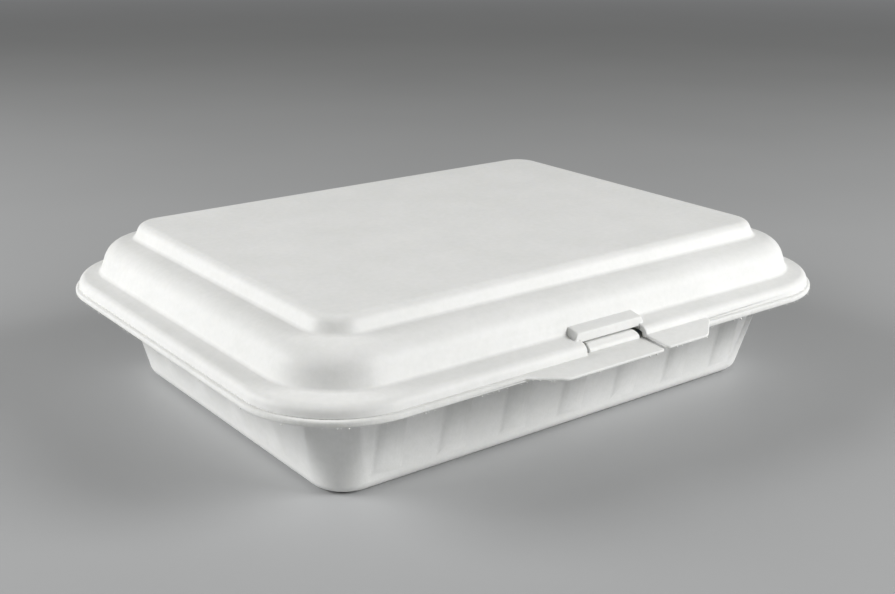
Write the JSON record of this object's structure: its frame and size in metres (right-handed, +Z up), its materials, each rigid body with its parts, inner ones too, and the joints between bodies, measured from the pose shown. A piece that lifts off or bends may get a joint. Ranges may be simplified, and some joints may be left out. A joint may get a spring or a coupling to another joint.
{
  "type": "foam clamshell container",
  "caption": "Hinged foam take-away container: a ribbed tapered tray, a stepped lid and a snap lock with thumb lips at the front.",
  "frame": {"origin": "on the table under the middle of the tray", "axes": "+X to the right along the long side, +Y to the hinged back, +Z up; the lock faces -Y"},
  "size_m": [0.24, 0.1963, 0.0594],
  "materials": {
    "foam": "white expanded polystyrene sheet, faintly mottled, satin"
  },
  "bodies": {
    "tray": {"tray": "foam"},
    "lid": {"lid": "foam"}
  },
  "joints": [
    {"name": "lid_hinge", "type": "hinge", "parent": "tray", "child": "lid", "pos_m": [0, 0.0938, 0.0368], "axis": [-1, 0, 0], "range_deg": [0, 180]}
  ]
}
